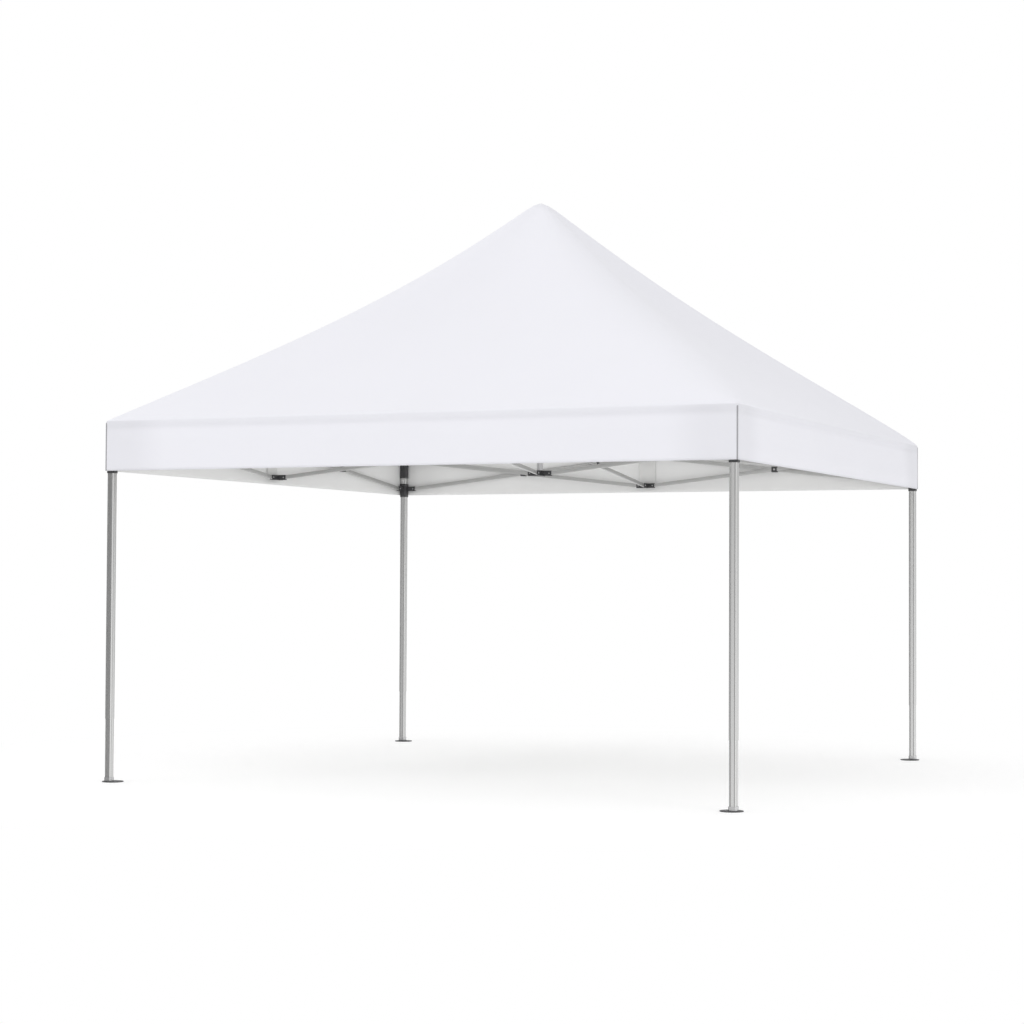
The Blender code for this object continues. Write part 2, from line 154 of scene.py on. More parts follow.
for lamp_name, place in LAMP_PLACE.items():
    lamp_data = bpy.data.lights.new(lamp_name, "AREA")
    lamp_data.size = LAMP_SIZE
    lamp_data.energy = LAMP_POWER[lamp_name]
    lamp = bpy.data.objects.new(lamp_name, lamp_data)
    bpy.context.scene.collection.objects.link(lamp)
    lamp.location = place
    lamp.rotation_euler = (LAMP_AIM - place).to_track_quat("-Z", "Y").to_euler()
    lamp.visible_camera = False

sky = bpy.data.worlds.new("studio_sky")
sky.use_nodes = True
sky_tree = sky.node_tree
sky_heading = sky_tree.nodes.new("ShaderNodeTexCoord")


def sky_towards(side):
    """How far a sky direction points to one side: 1 straight there, less to either hand."""
    node = sky_tree.nodes.new("ShaderNodeVectorMath")
    node.operation = "DOT_PRODUCT"
    node.inputs[1].default_value = side
    sky_tree.links.new(sky_heading.outputs["Generated"], node.inputs[0])
    return node.outputs["Value"]


sky_light = ROOM_LIGHT
for side, strength in (((-1, 0, 0), LEFT_LIGHT), ((0, 1, 0), BACK_LIGHT), ((0, 0, 1), TOP_LIGHT)):
    ahead = shader_math(sky_tree, "MAXIMUM", sky_towards(side), 0.0)
    glow = shader_math(sky_tree, "POWER", ahead, GLOW_FALLOFF)
    sky_light = shader_math(sky_tree, "MULTIPLY_ADD", glow, strength, sky_light)
ground = soft_step(sky_tree, sky_towards((0, 0, 1)), METAL_GROUND_FROM, METAL_GROUND_FULL)
metal_light = shader_math(sky_tree, "MULTIPLY_ADD", ground, METAL_GROUND_LIGHT, METAL_WALL_LIGHT)
window = shader_math(sky_tree, "MAXIMUM", sky_towards(METAL_WINDOW_TOWARDS), 0.0)
window = shader_math(sky_tree, "POWER", window, GLOW_FALLOFF)
metal_light = shader_math(sky_tree, "MULTIPLY_ADD", window, METAL_WINDOW_LIGHT, metal_light)
flag = soft_step(sky_tree, sky_towards(FLAG_TOWARDS), FLAG_EDGE, FLAG_CORE)
flag_leaves = shader_math(sky_tree, "MULTIPLY_ADD", flag, -FLAG_DARKNESS, 1.0)
metal_light = shader_math(sky_tree, "MULTIPLY", metal_light, flag_leaves)
rays = sky_tree.nodes.new("ShaderNodeLightPath")
for seen_by, light in (("Is Glossy Ray", metal_light), ("Is Camera Ray", 1.0)):
    rest = shader_math(sky_tree, "SUBTRACT", 1.0, rays.outputs[seen_by])
    other_light = shader_math(sky_tree, "MULTIPLY", sky_light, rest)
    sky_light = shader_math(sky_tree, "MULTIPLY_ADD", rays.outputs[seen_by], light, other_light)
sky_tree.links.new(sky_light, sky_tree.nodes["Background"].inputs["Strength"])
sky_tree.nodes["Background"].inputs["Color"].default_value = WHITE
bpy.context.scene.world = sky
bpy.context.scene.view_settings.view_transform = "Standard"

# Outer legs. Drawn aluminium tubes with cut corners and a shallow groove near
# either edge of every face, satin anodised, with painted shade in the grooves; the truss hangs on their tops.
LEG_HALF = (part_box("outer_leg_back_right")[1].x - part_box("outer_leg_back_right")[0].x) / 2
LEG_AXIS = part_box("outer_leg_back_right")[1].x - LEG_HALF
LEG_CUT = 0.006
LEG_WALL = 0.0018
GROOVE_FROM_EDGE = 0.0046
GROOVE_HALF = 0.0019
GROOVE_DEPTH = 0.0012
METAL_WEIGHT = 0.85
LINE_DETAIL = 6.0
LINE_TONES = (0.92, 1.0)
LINE_SPREAD = (0.3, 0.7)
LINE_GLOSS = (-0.05, 0.07)
LINE_RELIEF = 0.05
SKIN_DEPTH = 0.0002
CORNERS = {"front_left": (-1, -1), "front_right": (1, -1), "back_right": (1, 1), "back_left": (-1, 1)}


def add_noise(tree, place, scale, detail=2.0):
    """Adds cloudy noise, read where place says."""
    node = tree.nodes.new("ShaderNodeTexNoise")
    node.inputs["Scale"].default_value = scale
    node.inputs["Detail"].default_value = detail
    tree.links.new(place, node.inputs["Vector"])
    return node.outputs["Fac"]


def add_tones(tree, factor, colour, shares, spread=(0.0, 1.0)):
    """Runs between a darker and a lighter share of one colour as the factor rises over spread."""
    node = tree.nodes.new("ShaderNodeValToRGB")
    for element, share, position in zip(node.color_ramp.elements, shares, spread):
        element.position = position
        element.color = (*[part * share for part in colour], 1.0)
    tree.links.new(factor, node.inputs["Fac"])
    return node.outputs["Color"]


def add_relief(tree, height, strength, depth):
    """Makes the surface look raised by a pattern of heights, whose full height is depth in metres."""
    node = tree.nodes.new("ShaderNodeBump")
    node.inputs["Strength"].default_value = strength
    node.inputs["Distance"].default_value = depth
    tree.links.new(height, node.inputs["Height"])
    tree.links.new(node.outputs["Normal"], tree.nodes["Principled BSDF"].inputs["Normal"])


def drawn_aluminium(name, colour, roughness, stretch):
    """Satin anodised metal with fine drawing lines along one axis, which stretch gives."""
    metal = bpy.data.materials.new(name)
    metal.use_nodes = True
    tree = metal.node_tree
    shader = tree.nodes["Principled BSDF"]
    shader.inputs["Metallic"].default_value = METAL_WEIGHT
    place = tree.nodes.new("ShaderNodeTexCoord")
    stretched = tree.nodes.new("ShaderNodeMapping")
    stretched.inputs["Scale"].default_value = stretch
    tree.links.new(place.outputs["Object"], stretched.inputs["Vector"])
    lines = add_noise(tree, stretched.outputs["Vector"], 1.0, LINE_DETAIL)
    tone = add_tones(tree, lines, colour, LINE_TONES, LINE_SPREAD)
    tree.links.new(tone, shader.inputs["Base Color"])
    gloss = tree.nodes.new("ShaderNodeMapRange")
    gloss.inputs["To Min"].default_value = roughness + LINE_GLOSS[0]
    gloss.inputs["To Max"].default_value = roughness + LINE_GLOSS[1]
    tree.links.new(lines, gloss.inputs["Value"])
    tree.links.new(gloss.outputs["Result"], shader.inputs["Roughness"])
    add_relief(tree, lines, LINE_RELIEF, SKIN_DEPTH)
    return metal


def leg_outline(inset, centre, grooves=False):
    """Outline of the leg's profile moved inwards by inset, with its grooves if asked."""
    half = LEG_HALF - inset
    short = half - LEG_CUT + inset * (2 - math.sqrt(2))
    face = [(half, -short)]
    if grooves:
        for middle in (GROOVE_FROM_EDGE - short, short - GROOVE_FROM_EDGE):
            face += [(half, middle - GROOVE_HALF), (half - GROOVE_DEPTH, middle - GROOVE_HALF / 2),
                     (half - GROOVE_DEPTH, middle + GROOVE_HALF / 2), (half, middle + GROOVE_HALF)]
    face += [(half, short)]
    turns = [Matrix.Rotation(quarter * math.pi / 2, 2) for quarter in range(4)]
    return [tuple(turn @ Vector(point) + Vector(centre)) for turn in turns for point in face]


def pulled_tube(outlines, bottom, top):
    """A tube whose wall is filled between two closed outlines and pulled straight up."""
    shape = bmesh.new()
    for outline in outlines:
        ring = [shape.verts.new((x, y, bottom)) for x, y in outline]
        for start, end in zip(ring, ring[1:] + ring[:1]):
            shape.edges.new((start, end))
    bmesh.ops.triangle_fill(shape, use_beauty=True, edges=shape.edges[:])
    pulled = bmesh.ops.extrude_face_region(shape, geom=shape.faces[:])
    upper = [item for item in pulled["geom"] if isinstance(item, bmesh.types.BMVert)]
    bmesh.ops.translate(shape, verts=upper, vec=(0, 0, top - bottom))
    bmesh.ops.recalc_face_normals(shape, faces=shape.faces)
    return shape


def make_piece(name, shape, material, body="frame", stands_for=(), smooth_up_to=None):
    """Turns a finished shape into a piece of the tent that rides on one body."""
    mesh = bpy.data.meshes.new(name)
    shape.to_mesh(mesh)
    shape.free()
    mesh.materials.append(material)
    if smooth_up_to:
        mesh.shade_smooth()
        mesh.set_sharp_from_angle(angle=math.radians(smooth_up_to))
    piece = bpy.data.objects.new(name, mesh)
    bpy.context.scene.collection.objects.link(piece)
    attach(piece, body)
    if stands_for:
        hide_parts(*stands_for)
    return piece


def leg_tube(kind, corner_name, metal, body):
    """One grooved leg tube in the place of its node; its grooves get a darker metal, painted shade for their
    hollows.
    """
    node = "%s_leg_%s" % (kind, corner_name)
    low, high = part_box(node)
    axis_point = ((low.x + high.x) / 2, (low.y + high.y) / 2)
    half = (high.x - low.x) / 2
    inset = LEG_HALF - half
    tube = pulled_tube([leg_outline(inset, axis_point, True), leg_outline(inset + LEG_WALL, axis_point)],
                       low.z, high.z)
    for face in tube.faces:
        middle = face.calc_center_median()
        depth = half - max(abs(middle.x - axis_point[0]), abs(middle.y - axis_point[1]))
        stands_upright = abs(face.normal.z) < 0.5
        # Faces inside a groove take the second metal, which is the painted groove shade.
        if stands_upright and GROOVE_DEPTH * 0.1 < depth < GROOVE_DEPTH * 1.1:
            face.material_index = 1
    piece = make_piece("%s_leg_tube_%s" % (kind, corner_name), tube, metal, body, [node])
    piece.data.materials.append(groove_shade_metal)


leg_metal = drawn_aluminium("leg_aluminium", colour=(0.66, 0.66, 0.655), roughness=0.20,
                            stretch=(900, 900, 6))
# The grooves' faces get a darker, rougher metal: painted shade in the grooves.
groove_shade_metal = drawn_aluminium("groove_painted_shade", colour=(0.40, 0.40, 0.40), roughness=0.45,
                               stretch=(900, 900, 6))
for corner_name in CORNERS:
    leg_tube("outer", corner_name, leg_metal, "frame")

# Inner legs. The same drawn aluminium, one size smaller, sliding in the outer
# tubes. Their finish is a touch brighter, with long marks from sliding.
inner_leg_metal = drawn_aluminium("inner_leg_aluminium", colour=(0.67, 0.67, 0.665), roughness=0.20,
                                  stretch=(700, 700, 3))
for corner_name in CORNERS:
    leg_tube("inner", corner_name, inner_leg_metal, "leg_" + corner_name)

# Feet. Round steel plates in dark powder coating, with a hole for a peg, and
# a bright zinc-plated boot welded on for the leg's end.
FOOT_THICKNESS = 0.005
PEG_HOLE_RADIUS = 0.0055
PEG_HOLE_INSET = 0.032
BOOT_WALL = 0.0032
BOOT_GAP = 0.0003
FOOT_ROUNDING = 0.0012
FOOT_SEGMENTS = 96
PEG_HOLE_SEGMENTS = 32
WELD_HEIGHT = 0.003
PEEL_SCALE = 900.0
PEEL_RELIEF = 0.2
COATING_CLOUD_SCALE = 30.0
COATING_TONES = (0.8, 1.2)


def powder_coated(name, colour, roughness):
    """Powder coating: an even dark colour with a fine orange-peel skin."""
    coating = bpy.data.materials.new(name)
    coating.use_nodes = True
    tree = coating.node_tree
    shader = tree.nodes["Principled BSDF"]
    shader.inputs["Roughness"].default_value = roughness
    place = tree.nodes.new("ShaderNodeTexCoord")
    peel = add_noise(tree, place.outputs["Object"], PEEL_SCALE)
    cloud = add_noise(tree, place.outputs["Object"], COATING_CLOUD_SCALE)
    tree.links.new(add_tones(tree, cloud, colour, COATING_TONES), shader.inputs["Base Color"])
    add_relief(tree, peel, PEEL_RELIEF, SKIN_DEPTH)
    return coating


def round_outline(radius, centre, points):
    """Outline of a circle round a centre in the plan."""
    turns = [2 * math.pi * step / points for step in range(points)]
    return [(centre[0] + radius * math.cos(turn), centre[1] + radius * math.sin(turn)) for turn in turns]


foot_coating = powder_coated("foot_steel", colour=(0.085, 0.085, 0.09), roughness=0.45)
boot_zinc = drawn_aluminium("boot_zinc", colour=(0.64, 0.64, 0.645), roughness=0.32, stretch=(260, 260, 260))
for corner_name, (right, back) in CORNERS.items():
    low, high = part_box("foot_" + corner_name)
    middle = ((low.x + high.x) / 2, (low.y + high.y) / 2)
    peg_hole = (middle[0] - right * PEG_HOLE_INSET, middle[1] - back * PEG_HOLE_INSET)
    plate_top = low.z + FOOT_THICKNESS
    plate = pulled_tube([round_outline((high.x - low.x) / 2, middle, FOOT_SEGMENTS),
                         round_outline(PEG_HOLE_RADIUS, peg_hole, PEG_HOLE_SEGMENTS)], low.z, plate_top)
    rims = [edge for edge in plate.edges if edge.calc_face_angle(0.0) > math.radians(60)]
    bmesh.ops.bevel(plate, geom=rims, offset=FOOT_ROUNDING, offset_type="OFFSET", affect="EDGES", segments=2,
                    profile=0.5, material=-1)
    make_piece("foot_plate_" + corner_name, plate, foot_coating, "leg_" + corner_name,
               stands_for=["foot_" + corner_name], smooth_up_to=40)
    leg_low, leg_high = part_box("inner_leg_" + corner_name)
    leg_middle = ((leg_low.x + leg_high.x) / 2, (leg_low.y + leg_high.y) / 2)
    leg_inset = LEG_HALF - (leg_high.x - leg_low.x) / 2
    boot = pulled_tube([leg_outline(leg_inset - BOOT_GAP - BOOT_WALL, leg_middle),
                        leg_outline(leg_inset - BOOT_GAP, leg_middle)], plate_top, high.z)
    make_piece("foot_boot_" + corner_name, boot, boot_zinc, "leg_" + corner_name)
    weld = pulled_tube([leg_outline(leg_inset - BOOT_GAP - BOOT_WALL - WELD_HEIGHT, leg_middle),
                        leg_outline(leg_inset - BOOT_GAP - BOOT_WALL / 2, leg_middle)],
                       plate_top, plate_top + WELD_HEIGHT)
    upper_rim = [edge for edge in weld.edges
                 if all(vertex.co.z > plate_top + WELD_HEIGHT / 2 for vertex in edge.verts)]
    bmesh.ops.bevel(weld, geom=upper_rim, offset=WELD_HEIGHT * 0.4, offset_type="OFFSET", affect="EDGES",
                    segments=2, profile=0.5, material=-1)
    make_piece("foot_weld_" + corner_name, weld, foot_coating, "leg_" + corner_name,
               smooth_up_to=60)

# Sliders, brackets, middle joints and hubs. Black nylon mouldings with a fine
# spark-eroded grain, and edges rounded as a mould leaves them.
MOULD_ROUNDING = 0.0008
MERGE_WITHIN = 0.00005
ROUND_FROM_ANGLE = math.radians(35)
black_nylon = powder_coated("joint_plastic", colour=(0.042, 0.042, 0.044), roughness=0.48)
nylon_nodes = [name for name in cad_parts
               if name.startswith(("top_bracket", "slider", "upper_", "lower_", "mast_head"))]
for name in nylon_nodes:
    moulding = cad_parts[name]
    moulding.material_slots[0].material = black_nylon
    weld = moulding.modifiers.new("weld", "WELD")
    weld.merge_threshold = MERGE_WITHIN
    rounding = moulding.modifiers.new("rounding", "BEVEL")
    rounding.width = MOULD_ROUNDING
    rounding.segments = 2
    rounding.limit_method = "ANGLE"
    rounding.angle_limit = ROUND_FROM_ANGLE

# Truss bars. Flat aluminium tubes with rounded edges that cross in pairs, each
# pair held by a black cap and a rivet where it crosses.
LOWER_PIN_Z = sum(corner.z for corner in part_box("lower_joint_front")) / 2
UPPER_PIN_Z = sum(corner.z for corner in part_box("upper_joint_front")) / 2
BAR_HEIGHT = 0.026
BAR_THICKNESS = 0.013
BAR_OFFSET = 0.0078
BAR_WALL = 0.0012
BAR_EDGE = 0.0022
BAR_END = 0.012
PIN_FROM_LEG = 0.075
PIN_FROM_MIDDLE = 0.055
PIN_FROM_HUB = 0.065
CAP_SIZE = 0.040
CAP_DEPTH = 0.0346
CAP_ROUNDING = 0.003
PIN_RADIUS = 0.0046
PIN_HEAD = 0.0030
PIN_HEAD_TAPER = 0.7
PIN_SEGMENTS = 16
RIVET_RADIUS = 0.0075
FORK_WALLS = 0.0086
FORK_WIDTH = BAR_THICKNESS + FORK_WALLS
SIDES = {
    "front": (Vector((0, -1, 0)), Vector((1, 0, 0))),
    "right": (Vector((1, 0, 0)), Vector((0, 1, 0))),
    "back": (Vector((0, 1, 0)), Vector((-1, 0, 0))),
    "left": (Vector((-1, 0, 0)), Vector((0, -1, 0))),
}
bar_metal = drawn_aluminium("bar_aluminium", colour=(0.50, 0.50, 0.495), roughness=0.36,
                            stretch=(60, 60, 900))
pin_metal = drawn_aluminium("pin_steel", colour=(0.55, 0.55, 0.55), roughness=0.28,
                            stretch=(300, 300, 300))


def rounded_box_outline(half_x, half_y, radius, steps=3):
    """Outline of a rectangle whose corners are quarter circles."""
    outline = []
    for quarter, (sx, sy) in enumerate(((1, 1), (-1, 1), (-1, -1), (1, -1))):
        for step in range(steps + 1):
            angle = (quarter + step / steps) * math.pi / 2
            outline.append((sx * (half_x - radius) + radius * math.cos(angle),
                            sy * (half_y - radius) + radius * math.sin(angle)))
    return outline


def crossed_bars(node, start, direction, span, rising_side):
    """One pair of bars and its cap, in the place of the node."""
    rise = UPPER_PIN_Z - LOWER_PIN_Z
    slope = math.atan2(rise, span)
    middle = start + direction * (span / 2) + Vector((0, 0, (UPPER_PIN_Z + LOWER_PIN_Z) / 2))
    place = Matrix.Translation(middle) @ Matrix.Rotation(math.atan2(direction.y, direction.x), 4, "Z")
    half_length = math.hypot(span, rise) / 2 + BAR_END
    lay_down = Matrix.Rotation(math.pi / 2, 4, "Y")
    bars = bmesh.new()
    for side, tilt in ((rising_side, -slope), (-rising_side, slope)):
        bar = pulled_tube([rounded_box_outline(BAR_HEIGHT / 2, BAR_THICKNESS / 2, BAR_EDGE),
                           rounded_box_outline(BAR_HEIGHT / 2 - BAR_WALL, BAR_THICKNESS / 2 - BAR_WALL,
                                               BAR_EDGE - BAR_WALL)], -half_length, half_length)
        aside = Matrix.Translation((0, side * BAR_OFFSET, 0))
        bar.transform(place @ aside @ Matrix.Rotation(tilt, 4, "Y") @ lay_down)
        mesh = bpy.data.meshes.new("bar")
        bar.to_mesh(mesh)
        bar.free()
        bars.from_mesh(mesh)
        bpy.data.meshes.remove(mesh)
    make_piece(node + "_bars", bars, bar_metal, stands_for=[node], smooth_up_to=40)
    cap = bmesh.new()
    bmesh.ops.create_cube(cap, size=1.0)
    bmesh.ops.scale(cap, vec=(CAP_SIZE, CAP_DEPTH, CAP_SIZE), verts=cap.verts)
    bmesh.ops.bevel(cap, geom=cap.edges, offset=CAP_ROUNDING, offset_type="OFFSET", affect="EDGES",
                    segments=3, profile=0.5, material=-1)
    cap.transform(place)
    make_piece(node + "_cap", cap, black_nylon, smooth_up_to=40)


def add_pin(shape, centre, across, radius, length):
    """The two low heads of one pin that lies along across."""
    turn = across.to_track_quat("Z", "Y").to_matrix().to_4x4()
    for end in (0, math.pi):
        place = Matrix.Translation(centre) @ turn @ Matrix.Rotation(end, 4, "X")
        made = bmesh.ops.create_cone(shape, cap_ends=True, segments=PIN_SEGMENTS, radius1=radius,
                                     radius2=radius * PIN_HEAD_TAPER, depth=PIN_HEAD)
        bmesh.ops.transform(shape, verts=made["verts"],
                            matrix=place @ Matrix.Translation((0, 0, length / 2 + PIN_HEAD / 2)))


pins = bmesh.new()
side_span = LEG_AXIS - PIN_FROM_LEG - PIN_FROM_MIDDLE
inner_span = LEG_AXIS - 2 * PIN_FROM_HUB
middle_height = Vector((0, 0, (UPPER_PIN_Z + LOWER_PIN_Z) / 2))
for side_name, (outward, along) in SIDES.items():
    trusses = []
    for half_name, sign in (("right", 1), ("left", -1)):
        start = outward * LEG_AXIS + along * sign * (LEG_AXIS - PIN_FROM_LEG)
        trusses.append(("side_truss_%s_%s" % (side_name, half_name), start, along * -sign, side_span, sign))
    trusses.append(("inner_truss_" + side_name, outward * (LEG_AXIS - PIN_FROM_HUB), -outward, inner_span, 1))
    for node, start, direction, span, rising_side in trusses:
        crossed_bars(node, start, direction, span, rising_side)
        across = Vector((-direction.y, direction.x, 0))
        for far, height, side in ((0, LOWER_PIN_Z, 1), (1, UPPER_PIN_Z, 1),
                                  (0, UPPER_PIN_Z, -1), (1, LOWER_PIN_Z, -1)):
            centre = start + direction * span * far + across * side * rising_side * BAR_OFFSET
            add_pin(pins, centre + Vector((0, 0, height)), across, PIN_RADIUS, FORK_WIDTH)
        add_pin(pins, start + direction * (span / 2) + middle_height, across, RIVET_RADIUS, CAP_DEPTH)
make_piece("truss_pins", pins, pin_metal, smooth_up_to=50)

# Mast. A round aluminium tube on the hubs that holds up the peak.
MAST_RADIUS = 0.019
MAST_WALL = 0.002
MAST_SEGMENTS = 48
mast_metal = drawn_aluminium("mast_aluminium", colour=(0.58, 0.58, 0.59), roughness=0.34,
                             stretch=(700, 700, 5))
mast_low, mast_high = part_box("mast")
mast_outlines = [round_outline(radius, (0, 0), MAST_SEGMENTS)
                 for radius in (MAST_RADIUS, MAST_RADIUS - MAST_WALL)]
make_piece("mast_tube", pulled_tube(mast_outlines, mast_low.z, mast_high.z), mast_metal,
           stands_for=["mast"], smooth_up_to=40)

# Canopy. One sheet of white coated polyester, sewn along the hips and eaves:
# the roof droops from the peak to the corners and turns down as the valance.
ROOF_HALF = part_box("valance_back")[1].x
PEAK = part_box("peak_patch")[1].z
ROOF_DROP = 0.004
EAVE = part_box("roof_panel_front")[0].z + ROOF_DROP
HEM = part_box("valance_front")[0].z
PEAK_ROUNDING = 0.034
HIP_DROOP = {(-1, -1): 0.248, (1, -1): 0.215, (1, 1): 0.195, (-1, 1): 0.215}
HIP_SKEW = 1.5
HIP_SOFTNESS = 0.40
PANEL_SAG = 0.015
JOINT_BUMP = 0.006
JOINT_BUMP_WIDTH = 0.10
ROOF_CELLS = 128
EAVE_TURN = 0.010
EAVE_SLOPE = math.radians(33)
EAVE_STEPS = 5
VALANCE_ROWS = 22
ROWS_CROWD_UP = 1.4
SAME_PLACE = 0.0001
CLOTH = 0.0010
EAVE_PINCH = 0.0085
PINCH_STARTS = 0.05
PINCH_DEEPEST = 0.12
PINCH_ENDS = 0.42
CORNER_FADE = 0.16
HEM_TUCK = {"front": 0.001, "right": 0.009, "back": 0.003, "left": 0.004}
TUCK_DEEPEST = 0.78
TUCK_RETURN = 1.2
FOLD_SIZE = 0.0026
FOLD_REACH = 0.8
SWINGS_PER_METRE = 1.3
SWING_DOWN = 0.5
SWING_SHARE = 1.4
RIPPLES_PER_METRE = 5.0
RIPPLE_DOWN = 1.2
RIPPLE_SHARE = 0.6
RIPPLE_SHIFT = 9.0
CLOTH_ROUGHNESS = 0.72
CLOTH_SHEEN = 0.12
CLOTH_SHINE = 0.3
CLOTH_CLOUD_SCALE = 1.6
CLOTH_CLOUD_DETAIL = 3.0
CLOTH_TONES = (0.975, 1.0)
CLOTH_RELIEF = 0.2
CLOTH_RELIEF_DEPTH = 0.0003
THREAD_SCALE = 260.0
SEAM_BAND = 0.034
# Upper edges and depth of the painted shade in a band under the eave.
EAVE_SHADE_TOP = (0.004, -0.008)
EAVE_PAINTED_SHADE = 0.05
# How far from the corners the valance's painted shade reaches, and how deep it is.
CORNER_SHADE_REACH = 0.45
CORNER_SHADE = 0.07
HEM_DEPTH = 0.022
HEM_RISE = 1.2
FOLD_EDGE = 0.001
STITCH_LENGTH = 0.004
STITCH_GAP = 0.3
STITCH_WIDTH = 0.0012
STITCH_RISE = -1.6
DIAGONAL = 1.4
HIP_SEAM = 0.009
HIP_FOLD_EDGES = (1.6 * HIP_SEAM, 1.2 * HIP_SEAM)
HIP_RISE = 1.0


def coated_cloth(name, colour):
    """White coated polyester: a plain weave in relief, stitched at eaves, doubled and stitched at hems and
    hips, painted shade under eaves and near corners.
    """
    cloth = bpy.data.materials.new(name)
    cloth.use_nodes = True
    tree = cloth.node_tree
    shader = tree.nodes["Principled BSDF"]
    shader.inputs["Roughness"].default_value = CLOTH_ROUGHNESS
    shader.inputs["Sheen Weight"].default_value = CLOTH_SHEEN
    shader.inputs["Specular IOR Level"].default_value = CLOTH_SHINE
    place = tree.nodes.new("ShaderNodeTexCoord")
    split = tree.nodes.new("ShaderNodeSeparateXYZ")
    tree.links.new(place.outputs["Object"], split.inputs["Vector"])
    across = shader_math(tree, "ABSOLUTE", split.outputs["X"])
    along = shader_math(tree, "ABSOLUTE", split.outputs["Y"])
    height = split.outputs["Z"]
    from_hip = shader_math(tree, "ABSOLUTE", shader_math(tree, "SUBTRACT", across, along))
    on_roof = shader_math(tree, "GREATER_THAN", height, EAVE)

    # A band under the eave is painted darker: painted shade of the crease where the valance pinches in.
    under_eave = soft_step(tree, height, EAVE - 2 * SEAM_BAND, EAVE - SEAM_BAND)
    above_eave = soft_step(tree, height, *[EAVE + rise for rise in EAVE_SHADE_TOP])
    eave_painted_shade = shader_math(tree, "MULTIPLY", under_eave, above_eave)
    # The valance is painted darker towards its corners: painted shade near the corners.
    corner_run = shader_math(tree, "MINIMUM", across, along)
    near_corner = soft_step(tree, corner_run, ROOF_HALF - CORNER_SHADE_REACH, ROOF_HALF - CORNER_SHADE_REACH / 3)
    under_roof = shader_math(tree, "SUBTRACT", 1.0, on_roof)
    corner_painted_shade = shader_math(tree, "MULTIPLY", near_corner, under_roof)
    shade = shader_math(tree, "MULTIPLY_ADD", eave_painted_shade, -EAVE_PAINTED_SHADE, 1.0)
    shade = shader_math(tree, "MULTIPLY_ADD", corner_painted_shade, -CORNER_SHADE, shade)
    cloud = add_noise(tree, place.outputs["Object"], CLOTH_CLOUD_SCALE, CLOTH_CLOUD_DETAIL)
    shaded = tree.nodes.new("ShaderNodeHueSaturation")
    tree.links.new(shade, shaded.inputs["Value"])
    tree.links.new(add_tones(tree, cloud, colour, CLOTH_TONES), shaded.inputs["Color"])
    tree.links.new(shaded.outputs["Color"], shader.inputs["Base Color"])

    stitch_rows = []
    for row_height in (EAVE - SEAM_BAND, HEM + HEM_DEPTH):
        off_row = shader_math(tree, "ABSOLUTE", shader_math(tree, "SUBTRACT", height, row_height))
        stitch_rows.append(shader_math(tree, "LESS_THAN", off_row, STITCH_WIDTH))
    off_hip_row = shader_math(tree, "ABSOLUTE", shader_math(tree, "SUBTRACT", from_hip, DIAGONAL * HIP_SEAM))
    hip_row = shader_math(tree, "LESS_THAN", off_hip_row, DIAGONAL * STITCH_WIDTH)
    stitch_rows.append(shader_math(tree, "MULTIPLY", hip_row, on_roof))
    stitching = shader_math(tree, "MAXIMUM", shader_math(tree, "MAXIMUM", *stitch_rows[:2]), stitch_rows[2])
    split_run = tree.nodes.new("ShaderNodeSeparateXYZ")
    tree.links.new(place.outputs["UV"], split_run.inputs["Vector"])
    beat = shader_math(tree, "FRACT", shader_math(tree, "DIVIDE", split_run.outputs["X"], STITCH_LENGTH))
    stitching = shader_math(tree, "MULTIPLY", stitching, shader_math(tree, "GREATER_THAN", beat, STITCH_GAP))
    threads = []
    for axis in ("X", "Y"):
        wave = tree.nodes.new("ShaderNodeTexWave")
        wave.wave_type = "BANDS"
        wave.bands_direction = axis
        wave.inputs["Scale"].default_value = THREAD_SCALE
        tree.links.new(place.outputs["UV"], wave.inputs["Vector"])
        threads.append(wave.outputs["Fac"])
    hem_fold = soft_step(tree, height, HEM + HEM_DEPTH + FOLD_EDGE, HEM + HEM_DEPTH - FOLD_EDGE)
    hip_fold = shader_math(tree, "MULTIPLY", soft_step(tree, from_hip, *HIP_FOLD_EDGES), on_roof)
    relief_height = shader_math(tree, "MULTIPLY", *threads)
    for part, rise in ((stitching, STITCH_RISE), (hem_fold, HEM_RISE), (hip_fold, HIP_RISE)):
        relief_height = shader_math(tree, "MULTIPLY_ADD", part, rise, relief_height)
    add_relief(tree, relief_height, CLOTH_RELIEF, CLOTH_RELIEF_DEPTH)
    return cloth


def canopy_height(x, y):
    """Height of the cloth over a point of the plan, with soft hips and the joints' bumps."""
    wide, narrow = max(abs(x), abs(y)), min(abs(x), abs(y))
    near = math.hypot(wide, PEAK_ROUNDING)
    out = min(1.0, wide / ROOF_HALF)
    softness = HIP_SOFTNESS * 2 * math.sqrt(out * (1 - out)) * (narrow / near) ** 2
    reach = (wide + narrow + math.hypot(wide - narrow, softness) - softness) / 2
    full = math.hypot(ROOF_HALF, PEAK_ROUNDING)
    part = 1.0 - math.hypot(reach, PEAK_ROUNDING) / full
    across, up = x / near, y / near
    droop = sum(size * (1 + sx * across) * (1 + sy * up) / 4 for (sx, sy), size in HIP_DROOP.items())
    sag = PANEL_SAG * 4 * part * (1 - part) * abs(across ** 2 - up ** 2)
    peak_part = 1.0 - PEAK_ROUNDING / full
    peak_droop = sum(HIP_DROOP.values()) / len(HIP_DROOP)
    peak_loss = peak_droop * peak_part * (1 - peak_part) * (1 + HIP_SKEW * peak_part)
    rise = (PEAK - EAVE + peak_loss) / peak_part
    aside, inwards = narrow / JOINT_BUMP_WIDTH, (ROOF_HALF - wide) / JOINT_BUMP_WIDTH
    bump = JOINT_BUMP * math.exp(-aside ** 2 - inwards ** 2)
    return EAVE + rise * part - droop * part * (1 - part) * (1 + HIP_SKEW * part) - sag + bump


def ease(value, start, end):
    """Rises smoothly from 0 where the value is start to 1 where it is end."""
    share = min(1.0, max(0.0, (value - start) / (end - start)))
    return share * share * (3 - 2 * share)


